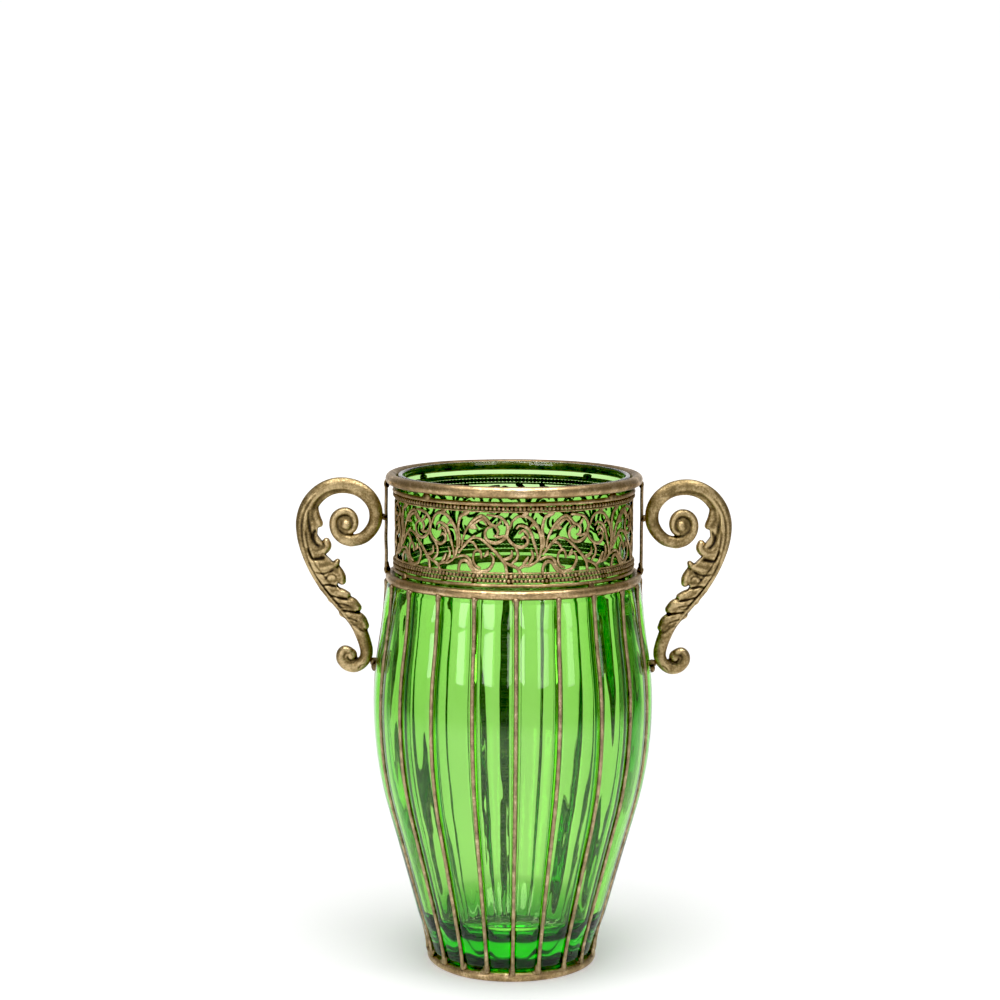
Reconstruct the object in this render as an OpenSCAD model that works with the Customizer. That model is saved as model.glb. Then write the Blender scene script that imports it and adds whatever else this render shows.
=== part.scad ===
// Flower vase: a green glass vessel blown into a cage of soldered antique-brass wire, with a
// pierced scrollwork band round its neck and two cast scroll handles.
// Millimetres, +Z up. The origin is on the standing plane, on the vessel's axis.
// The handles lie along X, and -Y is the front.

/* [Cage rings] */
// Radius of the mouth ring, to the middle of its rod
mouth_ring_radius = 88.5; // [86:0.5:92]
// Thickness of the mouth ring's rod
mouth_ring_rod = 8.4; // [6:0.2:9]
// Height of the top of the mouth ring, which is the vase's full height
vase_height = 360; // [340:1:380]
// Radius of the shoulder ring, to the middle of its rod
shoulder_ring_radius = 89.2; // [87:0.1:91]
// Thickness of the shoulder ring's rod
shoulder_ring_rod = 7.2; // [5:0.2:8]
// Height of the middle of the shoulder ring
shoulder_height = 284.6; // [280:0.2:288]
// Radius of the base ring, to the middle of its rod
base_ring_radius = 58.3; // [56:0.1:60]
// Thickness of the base ring's rod
base_ring_rod = 7.8; // [6:0.2:9]

/* [Ribs] */
// Number of ribs round the cage
rib_count = 20; // [16:1:20]
// Thickness of the rib wire
rib_wire = 3.1; // [2.4:0.1:3.6]
// Angle of the first rib from the front, towards +X
first_rib_angle = 1.5; // [0:0.5:6]
// Radius of the rib's upper end, to the middle of its wire
rib_top_radius = 91.6; // [90:0.1:93]
// Height of the rib's upper end
rib_top_height = 281; // [278:0.5:283]

/* [Glass] */
// Outer radius of the glass neck
neck_radius = 84.2; // [82:0.1:85]
// Wall thickness of the glass
glass_wall = 3.6; // [2.5:0.1:5]
// Thickness of the glass floor at its middle
glass_floor = 8; // [6:0.5:12]
// Height of the underside of the glass
glass_bottom = 1.5; // [1:0.5:4]

/* [Neck band] */
// Outer radius of the pierced band and its collar wires
band_radius = 86.1; // [85.5:0.1:87]
// Thickness of the pierced band
band_thickness = 1.6; // [1:0.1:1.9]
// Height of the pierced band's lower edge
band_bottom = 298.7; // [296:0.1:300]
// Height of the pierced band's upper edge
band_top = 342.8; // [340:0.1:344]
// Number of times the scroll pattern repeats round the band
scroll_repeats = 9; // [6:1:9]
// Width of a scroll's stroke
scroll_stroke = 2; // [1.2:0.1:3]

/* [Handles] */
// Thickness of a cast handle, front to back
handle_thickness = 10; // [7:0.5:13]
// Distance from the axis to the eye of the handle's top scroll
handle_eye_reach = 121; // [119:0.5:124]
// Height of the eye of the handle's top scroll
handle_eye_height = 321.7; // [318:0.5:325]
// Thickness of the upright wire beside each handle
strut_wire = 2.5; // [2:0.1:3]
// Distance from the axis to the middle of that wire
strut_reach = 92.2; // [91:0.1:94]

/* [Hidden] */
// Round shapes stay true circles in the exact model; this only sets how finely they are drawn.
$fn = 64;

brass = "#967d50";
dark_brass = "#6f5a36";
rib_brass = "#a88c68";
solder_colour = "#54452f";
glass_colour = "#35b41e";

mouth_ring_height = vase_height - mouth_ring_rod / 2;
base_ring_height = base_ring_rod / 2;
// The base ring is sunk by this much and cut flat, so that the vase stands without rocking.
base_ring_flat = 0.3;

// A chain is a smooth run of arcs, each [radius, turn in degrees]; [0, length] is a straight run.
// The rib's chain runs down from its upper end: a hollow under the shoulder, the belly, the long
// straight cone, and a short sweep that brings it upright on the base ring.
rib_start_lean = 2.6;
rib_chain = [[400, 6.6], [277, -24.7], [0, 92], [150, 8]];
rib_step = 360 / rib_count;

// Spacing of the stations along the ribs and down the glass, and the ribs' section as corners round
// a circle whose flats lie as far inside the wire's surface as its corners lie outside.
rib_spacing = 12;
// On a bend the stations are closer: this many to a radius, but no closer than the least spacing.
stations_per_radius = 2.5;
least_spacing = 2;
wire_sides = 8;
wire_corner = 0.5 / cos(90 / wire_sides);
wire_section = [
    for (k = [0 : wire_sides - 1])
        let (a = -(k + 0.5) * 360 / wire_sides)
        [wire_corner * cos(a), wire_corner * sin(a)]
];

glass_lip_height = vase_height - 1;
glass_neck_foot = 288;
lip_bevel = 1;
// Gap between the glass heel and the base ring, and the bevel at the heel.
heel_gap = 0.15;
heel_bevel = 2.5;
// Angles round the base ring's section along which the heel hugs it, from inside to the top.
heel_angles = [172 : -17 : 70];
// The floor rises to the wall like a bowl: the height it gains, the power of its curve, its steps.
floor_rise = 32;
floor_power = 2.6;
floor_steps = 12;
// How far above the base ring the glass leaves it to follow the ribs.
heel_rise = 3;

// Round wires above and below the band: the radius to their middle, their thickness, their height.
upper_collar_wire = 3.4;
upper_collar_height = 347.5;
lower_collar_wire = 2.8;
lower_collar_height = 290.7;
bead_size = 3.1;
bead_radius = band_radius - 0.3;
upper_bead_height = band_top + bead_size / 2;
lower_bead_heights = [band_bottom - bead_size / 2, band_bottom - bead_size * 1.5];
// Width of the band's plain edges.
band_rail = 1.6;

// Depth of a scroll stroke before it is trimmed to the band, enough to cross it where it curves away.
stroke_depth = scroll_stroke * 8;
// How far a shape that is trimmed afterwards reaches past the trim.
overshoot = 1;

// One repeat of the scroll pattern on the unrolled band. Each arc is [along the band from the root
// of the stems, height above the band's lower edge, radius, start angle, end angle].
scroll_root_angle = 13.4;
scroll_arcs = [
    // the fan of stems that rises from one root
    [29.5, 26.3, 29, 146, 210], [19.5, 23.3, 17, 60, 198], [24, 1.3, 27, 118, 152],
    [-22, 18.3, 21, -24, 29], [-30, 14.3, 25.5, -9, 24],
    // the round scroll on the right and the long stem that falls from it
    [27.8, 32.1, 9.8, 0, 360], [10, -1.7, 26, 4, 96],
    // the arched scroll on the left, with its inner turns
    [-13, 31.8, 10.2, -20, 195], [-14.5, 26.3, 6.5, -20, 150], [-17.5, 27.3, 8, 140, 345],
    // the low hooks between the stems
    [3, 2.8, 8.8, 15, 125], [18.4, 9.7, 8, 195, 390], [4.4, 4.3, 4.4, 0, 230],
    [-9.5, 14.8, 8.6, 210, 330], [-32, -9.7, 20, 30, 80], [-24.5, 13.8, 7, -60, 55]
];

// The strut stands off the band and its ends sit in solder on the two big rings.
strut_bottom = shoulder_height + 2;
strut_top = mouth_ring_height - 3;
strut_solder_size = strut_wire * 1.8;

// The handle's middle line as a chain, outwards from the eye of the top scroll: the eye, the inner
// turn, the outer turn, the crown, the leafy limb leaning in to the vase, and the foot scroll.
handle_start_turn = 200;
handle_chain = [
    [5.5, -200], [10.9, -180], [0, 3], [20, -180], [0, 5], [29, -90], [30, -27], [400, -7],
    [0, 21], [40, 34], [8.5, 90], [0, 3], [6.8, 165]
];
// Width of the casting at the start of the chain and at the end of each run of it.
handle_widths = [9, 6.6, 8.6, 8.8, 11, 11.4, 14, 22, 17.5, 12.5, 11, 9.6, 9.4, 7.6];
// From the eye of the top scroll to the start of the chain.
handle_start = [2, -1.2];
handle_spacing = 4;
handle_section = [
    [-0.5, -0.18], [-0.36, -0.44], [0, -0.5], [0.36, -0.44],
    [0.5, -0.18], [0.5, 0.18], [0.36, 0.44], [0, 0.5], [-0.36, 0.44], [-0.5, 0.18]
];

// Solder: where the collar wires are bridged to the big rings, and the size of each kind of joint.
// Every point is [distance from the axis, height].
upper_bridge_angles = [-44, 52, 140, 232];
upper_bridge = [band_radius + 1.6, upper_collar_height + 2];
lower_bridge_angles = [38, -62, 128, 218];
lower_bridge = [band_radius + 1.2, lower_collar_height - 2];
bridge_solder = 5;
rib_solder = 5.2;
handle_solder = 7;
handle_weld = [100.2, 220];
handle_touch = [strut_reach + 1.2, 327];
handle_touch_solder = 4.9;
strut_joint_reach = strut_reach - 0.6;
strut_joint_heights = [strut_bottom + 1.5, strut_top - 1];

rib_names = [for (i = [1 : rib_count]) str("rib_", i < 10 ? "0" : "", i)];

// ---- chains of arcs ----

// Next state [x, y, heading] after moving along one run of a chain for a share of its length.
function run_end(state, run, share) = run[0] == 0
    ? [
        state[0] + run[1] * share * cos(state[2]),
        state[1] + run[1] * share * sin(state[2]),
        state[2]
    ]
    : let (side = sign(run[1]), turned = state[2] + run[1] * share) [
        state[0] + side * run[0] * (sin(turned) - sin(state[2])),
        state[1] - side * run[0] * (cos(turned) - cos(state[2])),
        turned
    ];

// State at the start of run number n.
function chain_state(start, chain, n) = n == 0
    ? start
    : run_end(chain_state(start, chain, n - 1), chain[n - 1], 1);

function run_length(run) = run[0] == 0 ? run[1] : run[0] * abs(run[1]) * PI / 180;

// Stations [x, y, heading, width] along a whole chain, about one every spacing.
function chain_stations(start, chain, widths, spacing) = [
    for (n = [0 : len(chain) - 1])
        let (
            state = chain_state(start, chain, n),
            bend_spacing = chain[n][0] == 0
                ? spacing
                : max(least_spacing, chain[n][0] / stations_per_radius),
            count = max(1, round(run_length(chain[n]) / min(spacing, bend_spacing))),
            last = n == len(chain) - 1 ? count : count - 1
        )
        for (k = [0 : last])
            let (share = k / count)
            concat(
                run_end(state, chain[n], share),
                [widths[n] + (widths[n + 1] - widths[n]) * share]
            )
];

// ---- the ribs' middle line in the plane of the axis: [distance from the axis, height] ----

rib_start = [rib_top_radius, rib_top_height, -90 + rib_start_lean];
rib_widths = [for (n = [0 : len(rib_chain)]) rib_wire];
rib_line = chain_stations(rib_start, rib_chain, rib_widths, rib_spacing);
rib_end = rib_line[len(rib_line) - 1];
rib_top_joint = [rib_top_radius - 0.5, rib_top_height - 0.4];
rib_foot_joint = [rib_end[0] - 0.3, rib_end[1] + 0.2];

// ---- parts used more than once ----

module ring(radius, rod, height) {
    translate([0, 0, height])
        rotate_extrude()
            translate([radius, 0])
                circle(d = rod);
}

// Turns what it is given from the front (-Y) to an angle towards +X.
module around(angle) {
    rotate([0, 0, angle - 90])
        children();
}

// Sweeps a flat section along stations in the upright plane through the axis. A section corner is
// [across, depth] as shares of the width there; the depth never passes max_depth.
module sweep(stations, section, max_depth) {
    sides = len(section);
    count = len(stations);
    points = [
        for (station = stations, corner = section)
            let (
                across = corner[0] * station[3],
                depth = corner[1] * min(max_depth, station[3])
            )
            [
                station[0] - across * sin(station[2]),
                depth,
                station[1] + across * cos(station[2])
            ]
    ];
    walls = [
        for (i = [0 : count - 2], k = [0 : sides - 1])
            let (next = (k + 1) % sides)
            [i * sides + k, i * sides + next, (i + 1) * sides + next, (i + 1) * sides + k]
    ];
    ends = [
        [for (k = [sides - 1 : -1 : 0]) k],
        [for (k = [0 : sides - 1]) (count - 1) * sides + k]
    ];
    polyhedron(points, concat(walls, ends), convexity = 10);
}

// ---- glass ----

// The ribs' inner side moved in by an inset, down to a height.
function inside_ribs(inset, lowest) = [
    for (station = rib_line)
        let (reach = rib_wire / 2 + inset)
        if (station[1] > lowest)
            [station[0] - reach * cos(station[2] + 90), station[1] - reach * sin(station[2] + 90)]
];

function reversed(list) = [for (i = [len(list) - 1 : -1 : 0]) list[i]];

// The underside dips through the base ring: it hugs the ring's inner shoulder, then turns flat.
module glass_vessel() {
    bore = neck_radius - glass_wall;
    floor_top = glass_bottom + glass_floor;
    ring_clearance = base_ring_rod / 2 + heel_gap;
    outside = inside_ribs(0, base_ring_rod + heel_rise);
    inside = inside_ribs(glass_wall, floor_top + floor_rise);
    heel = [
        for (a = heel_angles)
            [base_ring_radius + ring_clearance * cos(a), base_ring_height + ring_clearance * sin(a)]
    ];
    wall_foot = inside[len(inside) - 1];
    bowl = [
        for (k = [1 : floor_steps - 1])
            let (share = 1 - k / floor_steps)
            [
                wall_foot[0] * share,
                floor_top + (wall_foot[1] - floor_top) * pow(share, floor_power)
            ]
    ];
    color(glass_colour, 0.6)
        rotate_extrude()
            polygon(concat(
                [[0, floor_top], [0, glass_bottom], [heel[0][0] - heel_bevel, glass_bottom]],
                heel,
                reversed(outside),
                [
                    [neck_radius, glass_neck_foot], [neck_radius, glass_lip_height - lip_bevel],
                    [neck_radius - lip_bevel, glass_lip_height], [bore + lip_bevel, glass_lip_height],
                    [bore, glass_lip_height - lip_bevel], [bore, glass_neck_foot]
                ],
                inside,
                bowl
            ));
}

// ---- rings and wires of the neck ----

module mouth_ring() {
    color(brass)
        ring(mouth_ring_radius, mouth_ring_rod, mouth_ring_height);
}

module upper_collar_wire() {
    color(brass)
        ring(band_radius, upper_collar_wire, upper_collar_height);
}

module lower_collar_wire() {
    color(brass)
        ring(band_radius, lower_collar_wire, lower_collar_height);
}

module bead_wire(height) {
    color(dark_brass)
        ring(bead_radius, bead_size, height);
}

module shoulder_ring() {
    color(brass)
        ring(shoulder_ring_radius, shoulder_ring_rod, shoulder_height);
}

module base_ring() {
    color(brass)
        intersection() {
            ring(base_ring_radius, base_ring_rod, base_ring_height - base_ring_flat);
            cylinder(r = base_ring_radius + base_ring_rod, h = base_ring_rod);
        }
}

// ---- the pierced scroll band ----

// One stroke along an arc on the unrolled band: its centre, its radius and its two end angles.
module scroll_arc(arc) {
    translate([arc[0], arc[1]])
        rotate([0, 0, arc[3]])
            rotate_extrude(angle = arc[4] - arc[3])
                translate([arc[2], 0])
                    square([scroll_stroke, stroke_depth], center = true);
}

module filigree_band() {
    height = band_top - band_bottom;
    color(dark_brass)
        intersection() {
            translate([0, 0, band_bottom])
                difference() {
                    cylinder(r = band_radius, h = height);
                    translate([0, 0, -height / 2])
                        cylinder(r = band_radius - band_thickness, h = height * 2);
                }
            union() {
                for (edge = [band_bottom, band_top - band_rail])
                    translate([0, 0, edge])
                        cylinder(r = band_radius + overshoot, h = band_rail);
                for (i = [0 : scroll_repeats - 1], arc = scroll_arcs)
                    rotate([0, 0, i * 360 / scroll_repeats + scroll_root_angle])
                        translate([0, -band_radius, band_bottom])
                            rotate([90, 0, 0])
                                scroll_arc(arc);
            }
        }
}

// ---- ribs ----

module rib(number) {
    color(rib_brass)
        around(first_rib_angle + (number - 1) * rib_step)
            sweep(rib_line, wire_section, rib_wire);
}

// ---- handles and their struts ----

// Which side of the vase: 1 is +X, -1 is -X.
module on_side(side) {
    rotate([0, 0, side > 0 ? 0 : 180])
        children();
}

module strut(side) {
    color(rib_brass)
        on_side(side)
            translate([strut_reach, 0, strut_bottom])
                cylinder(d = strut_wire, h = strut_top - strut_bottom);
}

module handle(side) {
    eye = [handle_eye_reach, handle_eye_height];
    start = [eye[0] + handle_start[0], eye[1] + handle_start[1], handle_start_turn];
    stations = chain_stations(start, handle_chain, handle_widths, handle_spacing);
    color(brass)
        on_side(side)
            sweep(stations, handle_section, handle_thickness);
}

// ---- solder ----

// A blob of solder at a point [distance from the axis, height].
module blob(point, size) {
    translate([point[0], 0, point[1]])
        sphere(d = size);
}

module collar_solder() {
    color(solder_colour) {
        for (angle = upper_bridge_angles)
            around(angle)
                blob(upper_bridge, bridge_solder);
        for (angle = lower_bridge_angles)
            around(angle)
                blob(lower_bridge, bridge_solder);
    }
}

module strut_solder() {
    color(solder_colour)
        for (side = [-1, 1], height = strut_joint_heights)
            on_side(side)
                blob([strut_joint_reach, height], strut_solder_size);
}

module rib_joints(point) {
    color(solder_colour)
        for (i = [0 : rib_count - 1])
            around(first_rib_angle + i * rib_step)
                blob(point, rib_solder);
}

module handle_joints(side) {
    color(solder_colour)
        on_side(side) {
            blob(handle_touch, handle_touch_solder);
            blob(handle_weld, handle_solder);
        }
}

glass_vessel();
mouth_ring();
upper_collar_wire();
bead_wire(upper_bead_height);  // upper_bead_wire
filigree_band();
bead_wire(lower_bead_heights[0]);  // lower_bead_wire_1
bead_wire(lower_bead_heights[1]);  // lower_bead_wire_2
lower_collar_wire();
shoulder_ring();
base_ring();
for (i = [1 : rib_count])
    rib(i);
strut(-1);  // strut_left
strut(1);  // strut_right
handle(-1);  // handle_left
handle(1);  // handle_right
collar_solder();
strut_solder();
rib_joints(rib_top_joint);  // rib_top_solder
rib_joints(rib_foot_joint);  // rib_foot_solder
handle_joints(-1);  // handle_solder_left
handle_joints(1);  // handle_solder_right
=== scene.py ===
"""Flower vase: green glass blown into a soldered cage of antique brass, with a pierced scroll band
and two cast scroll handles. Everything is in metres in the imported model's frame."""

import math

import bmesh
import bpy
import numpy as np
from mathutils import Matrix, Vector


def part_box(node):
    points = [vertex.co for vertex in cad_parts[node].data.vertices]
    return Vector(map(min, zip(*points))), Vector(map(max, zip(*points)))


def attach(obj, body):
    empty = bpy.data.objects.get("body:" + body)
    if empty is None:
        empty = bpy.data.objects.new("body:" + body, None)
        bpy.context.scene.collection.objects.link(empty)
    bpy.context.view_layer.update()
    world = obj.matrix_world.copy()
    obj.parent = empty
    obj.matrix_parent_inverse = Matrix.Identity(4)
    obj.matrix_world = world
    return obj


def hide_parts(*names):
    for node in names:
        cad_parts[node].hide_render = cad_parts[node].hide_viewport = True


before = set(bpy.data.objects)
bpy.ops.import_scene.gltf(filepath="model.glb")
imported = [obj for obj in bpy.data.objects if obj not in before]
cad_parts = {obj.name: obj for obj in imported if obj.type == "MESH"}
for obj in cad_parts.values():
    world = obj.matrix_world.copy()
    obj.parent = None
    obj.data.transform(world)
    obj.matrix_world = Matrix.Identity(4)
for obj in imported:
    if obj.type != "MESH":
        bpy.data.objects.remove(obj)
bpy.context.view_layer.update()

MM = 0.001

# The cage's ribs: nominal angle of the first from the front, their middle line from the top down as
# arcs of [radius, turn in degrees] ([0, length] is straight), and where that line starts.
RIB_NODES = sorted(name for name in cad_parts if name[:4] == "rib_" and name[4:].isdigit())
RIB_COUNT = len(RIB_NODES)
FIRST_RIB = math.radians(1.5)
RIB_CHAIN = [(400, 6.6), (277, -24.7), (0, 92), (150, 8)]
RIB_START = (91.6, 281, -90 + 2.6)
RIB_WIRE = 3.1


# ---------------------------------------------------------------- curves

def run_point(state, run, share):
    """The state (x, y, heading) after a share of one run of a chain."""
    x, y, heading = state
    radius, amount = run
    start = math.radians(heading)
    if radius == 0:
        return (x + amount * share * math.cos(start), y + amount * share * math.sin(start), heading)
    turned = math.radians(heading + amount * share)
    side = math.copysign(radius, amount)
    return (
        x + side * (math.sin(turned) - math.sin(start)),
        y - side * (math.cos(turned) - math.cos(start)),
        heading + amount * share,
    )


def chain_line(start, chain, step, widths=None):
    """Stations (x, y, heading, width) along a chain, about one every step."""
    state, rows = start, []
    for n, run in enumerate(chain):
        length = run[1] if run[0] == 0 else run[0] * math.radians(abs(run[1]))
        count = max(2, round(length / step))
        for k in range(count + (n == len(chain) - 1)):
            share = k / count
            width = 0 if widths is None else widths[n] + (widths[n + 1] - widths[n]) * share
            rows.append((*run_point(state, run, share), width))
        state = run_point(state, run, 1)
    return np.array(rows, float)


def smooth_curve(points, step):
    """Points about a step apart on the Catmull-Rom curve through a few points."""
    p = np.array(points, float)
    p = np.vstack([2 * p[0] - p[1], p, 2 * p[-1] - p[-2]])
    out = []
    for a, b, c, d in zip(p, p[1:], p[2:], p[3:]):
        count = max(2, int(np.linalg.norm(c - b) / step))
        t = np.arange(count)[:, None] / count
        out.append(
            0.5 * (2 * b + (c - a) * t + (2 * a - 5 * b + 4 * c - d) * t**2
                   + (3 * b - a - 3 * c + d) * t**3)
        )
    return np.vstack([*out, p[-2:-1]])


def wave(values, seed, terms=4, lowest=1):
    """A smooth seeded wobble of about unit size over values from 0 to 1, which closes on itself."""
    r = np.random.default_rng(seed)
    total = np.zeros_like(values)
    for k in range(lowest, lowest + terms):
        total = total + r.normal() * np.sin(2 * np.pi * k * values + r.uniform(0, 2 * np.pi)) / k**0.5
    return total / terms**0.5


# ---------------------------------------------------------------- meshes

# How dark the painted shade on sides that face the vase's axis may get.
INWARD_SHADE_MOST = 0.3


def painted_inward_shade(mesh):
    """Painted shade: 0 where the surface looks away from the vase's axis, up to the most set above where it
    looks inward, towards the glass.
    """
    place = np.empty(3 * len(mesh.vertices), np.float32)
    normal = np.empty(3 * len(mesh.vertices), np.float32)
    mesh.vertices.foreach_get("co", place)
    mesh.vertex_normals.foreach_get("vector", normal)
    away = place.reshape(-1, 3)[:, :2]
    away = away / np.maximum(np.linalg.norm(away, axis=1), 1e-6)[:, None]
    facing = np.sum(normal.reshape(-1, 3)[:, :2] * away, axis=1)
    return np.clip((0.5 - facing) / 1.1, 0, INWARD_SHADE_MOST)


def make_object(name, verts, faces, material, cavity=None, shade_inward_sides=True):
    """A smooth mesh object. cavity, one value per vertex, darkens the brass: painted shade, with some patina
    in hollows; unless turned off, painted shade on the sides that face the vase's axis is added to it.
    """
    mesh = bpy.data.meshes.new(name)
    mesh.from_pydata([tuple(v) for v in np.asarray(verts, float)], [], faces)
    mesh.validate()
    if cavity is not None:
        # painted shade on the sides that look towards the vase's axis
        if shade_inward_sides:
            cavity = np.clip(cavity + painted_inward_shade(mesh), 0, 1)
        layer = mesh.attributes.new("cavity", "FLOAT", "POINT")
        layer.data.foreach_set("value", np.asarray(cavity, np.float32))
    mesh.polygons.foreach_set("use_smooth", [True] * len(mesh.polygons))
    piece = bpy.data.objects.new(name, mesh)
    bpy.context.scene.collection.objects.link(piece)
    piece.data.materials.append(material)
    return piece


def grid_faces(rows, columns, closed_rows=False):
    """Quads of a grid of rows x columns vertices, closed along each row."""
    faces = []
    for i in range(rows if closed_rows else rows - 1):
        for k in range(columns):
            i2, k2 = (i + 1) % rows, (k + 1) % columns
            faces.append((i * columns + k, i * columns + k2, i2 * columns + k2, i2 * columns + k))
    return faces


def end_faces(rows, columns):
    """The two faces that close the first and the last row of a grid."""
    last = (rows - 1) * columns
    return [tuple(range(columns))[::-1], tuple(last + k for k in range(columns))]


class Pile:
    """Gathers several closed shapes into one mesh."""

    def __init__(self):
        self.verts, self.faces, self.cavity, self.count = [], [], [], 0

    def add(self, verts, faces, cavity=None):
        verts = np.asarray(verts, float)
        self.faces += [tuple(i + self.count for i in face) for face in faces]
        self.verts.append(verts)
        self.cavity.append(np.zeros(len(verts)) if cavity is None else np.asarray(cavity, float))
        self.count += len(verts)

    def build(self, name, material):
        return make_object(
            name, np.vstack(self.verts), self.faces, material, np.concatenate(self.cavity)
        )


# Angles of the rings that dome the end of a rod.
DOME_TURNS = (30, 55, 75, 88)


def tube(line, wide, deep, side_axis, sides=12, closed=False):
    """A swept rod. side_axis, one vector or one per point, is across the rod where wide is
    measured; deep is measured across both. Ends are domed. Returns verts, faces, section angles."""
    line = np.asarray(line, float)
    n = len(line)
    wide = np.broadcast_to(np.asarray(wide, float), (n,)).copy()
    deep = np.broadcast_to(np.asarray(deep, float), (n,)).copy()
    if closed:
        tangent = np.roll(line, -1, 0) - np.roll(line, 1, 0)
    else:
        tangent = np.gradient(line, axis=0)
    tangent /= np.linalg.norm(tangent, axis=1)[:, None]
    across = np.broadcast_to(np.asarray(side_axis, float), (n, 3)).copy()
    across -= tangent * (across * tangent).sum(1)[:, None]
    across /= np.linalg.norm(across, axis=1)[:, None]
    up = np.cross(tangent, across)
    if not closed:
        domes = []
        for end, sign in ((0, -1), (-1, 1)):
            turns = np.radians(DOME_TURNS[::sign])[:, None]
            reach = min(wide[end], deep[end]) / 2
            shrink = np.cos(turns[:, 0])
            domes.append((
                line[end] + sign * tangent[end] * reach * np.sin(turns),
                wide[end] * shrink, deep[end] * shrink,
                np.repeat(across[end][None], len(turns), 0), np.repeat(up[end][None], len(turns), 0),
            ))
        parts = zip(domes[0], (line, wide, deep, across, up), domes[1])
        line, wide, deep, across, up = (np.concatenate(part) for part in parts)
    angles = np.arange(sides) * 2 * np.pi / sides
    cs, sn = np.cos(angles), np.sin(angles)
    verts = (
        line[:, None]
        + across[:, None] * (cs[None, :, None] * wide[:, None, None] / 2)
        + up[:, None] * (sn[None, :, None] * deep[:, None, None] / 2)
    ).reshape(-1, 3)
    rows = len(line)
    faces = grid_faces(rows, sides, closed_rows=closed)
    if not closed:
        faces += end_faces(rows, sides)
    return verts, faces, np.tile(angles, rows)


def around(angle, radius, height):
    """Points at an angle from the front (-Y) towards +X."""
    angle, radius, height = np.broadcast_arrays(angle, radius, height)
    return np.stack([radius * np.sin(angle), -radius * np.cos(angle), height], -1)


def hoop_of(node):
    """(radius to the middle of the rod, thickness, height of the middle) of a CAD hoop."""
    low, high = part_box(node)
    rod = high.z - low.z
    return high.x - rod / 2, rod, (low.z + high.z) / 2


# How far a hoop strays from a true circle, and the number of stations round it.
HOOP_WOBBLE = 0.25 * MM
HOOP_STATIONS = 420


def hoop(name, node, material, seed, lumps=0.03):
    """A hand-bent rod closed into a hoop: slightly out of round and slightly uneven in thickness."""
    radius, rod, height = hoop_of(node)
    share = np.arange(HOOP_STATIONS) / HOOP_STATIONS
    angle = share * 2 * np.pi
    out_of_round = HOOP_WOBBLE * wave(share, seed, 5, 2)
    out_of_flat = 0.5 * HOOP_WOBBLE * wave(share, seed + 1, 4, 2)
    line = around(angle, radius + out_of_round, height + out_of_flat)
    thickness = rod * (1 - 1.2 * lumps + lumps * wave(share, seed + 2, 9, 3))
    verts, faces, _ = tube(line, thickness, thickness, around(angle, 1, 0), 20, closed=True)
    adopt(make_object(name, verts, faces, material, np.zeros(len(verts))), node)


def adopt(piece, *nodes):
    """The piece rides on the vase and stands for these CAD nodes."""
    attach(piece, "root")
    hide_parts(*nodes)


# ---------------------------------------------------------------- materials

def node_material(name):
    """A material with a Principled shader: the material, its nodes and links, shader and output."""
    material = bpy.data.materials.new(name)
    material.use_nodes = True
    nodes, links = material.node_tree.nodes, material.node_tree.links
    nodes.clear()
    out = nodes.new("ShaderNodeOutputMaterial")
    shader = nodes.new("ShaderNodeBsdfPrincipled")
    links.new(shader.outputs[0], out.inputs["Surface"])
    return material, nodes, links, shader, out


def noise(nodes, links, coords, scale, detail, rough, stretch=None):
    """Noise from 0 to 1 over the object's own coordinates, finer where stretch is above 1."""
    source = coords
    if stretch is not None:
        mapping = nodes.new("ShaderNodeMapping")
        mapping.inputs["Scale"].default_value = stretch
        links.new(coords, mapping.inputs["Vector"])
        source = mapping.outputs[0]
    n = nodes.new("ShaderNodeTexNoise")
    n.inputs["Scale"].default_value = scale
    n.inputs["Detail"].default_value = detail
    n.inputs["Roughness"].default_value = rough
    links.new(source, n.inputs["Vector"])
    return n.outputs["Fac"]


def ramp(nodes, links, source, stops):
    """Blends between the stops, each [place from 0 to 1, grey value or colour]."""
    r = nodes.new("ShaderNodeValToRGB")
    links.new(source, r.inputs[0])
    elements = r.color_ramp.elements
    while len(elements) > 1:
        elements.remove(elements[-1])
    for n, (at, value) in enumerate(stops):
        e = elements[0] if n == 0 else elements.new(at)
        e.position = at
        e.color = (*value, 1) if isinstance(value, tuple) else (value, value, value, 1)
    return r.outputs[0]


def math_node(nodes, links, operation, *values, clamp=False):
    """The result of one sum; each value is a number or another node's output."""
    m = nodes.new("ShaderNodeMath")
    m.operation = operation
    m.use_clamp = clamp
    for socket, value in zip(m.inputs, values):
        if isinstance(value, (int, float)):
            socket.default_value = value
        else:
            links.new(value, socket)
    return m.outputs[0]


# Near-black at the dark end of the brass: patina, and painted shade where the cavity values are high.
PATINA_AND_SHADE_DARK = (0.022, 0.015, 0.009)


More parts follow.
